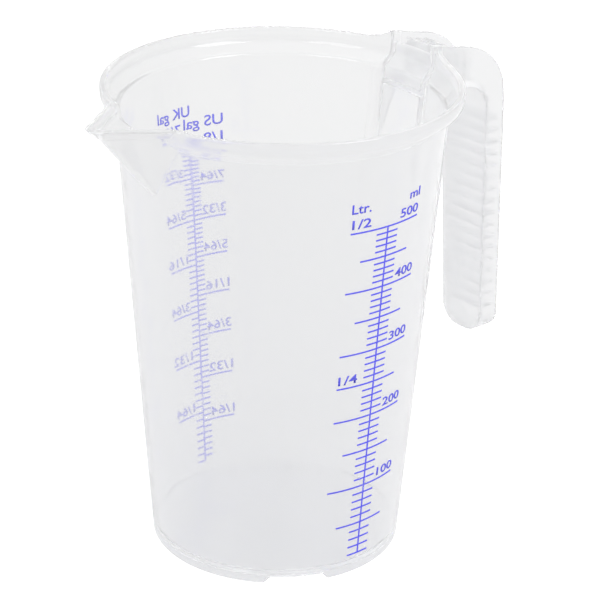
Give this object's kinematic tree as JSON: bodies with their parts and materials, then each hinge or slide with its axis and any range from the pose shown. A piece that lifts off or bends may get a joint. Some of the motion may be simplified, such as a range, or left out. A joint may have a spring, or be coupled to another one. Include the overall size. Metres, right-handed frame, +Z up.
{
  "type": "measuring jug",
  "caption": "Tapered half litre measuring jug with a V-shaped pouring spout, a hooked open-ended channel handle and printed volume scales.",
  "frame": {"origin": "on the jug's axis, in the plane of the foot that it stands on", "axes": "+Z up along the axis, +X towards the handle, -X towards the spout, -Y towards the litre scale and +Y towards the gallon scale"},
  "size_m": [0.1458, 0.1002, 0.1407],
  "materials": {
    "clear_polypropylene": "translucent natural polypropylene, satin",
    "printed_ink": "screen printed ink"
  },
  "bodies": {
    "root": {"body_wall": "clear_polypropylene", "base_floor": "clear_polypropylene", "foot_ring": "clear_polypropylene", "rim_flare": "clear_polypropylene", "pouring_spout": "clear_polypropylene", "handle_neck": "clear_polypropylene", "handle_grip": "clear_polypropylene", "neck_gussets": "clear_polypropylene", "neck_ribs": "clear_polypropylene", "grip_ribs": "clear_polypropylene", "litre_scale": "printed_ink", "gallon_scale": "printed_ink"}
  },
  "joints": []
}
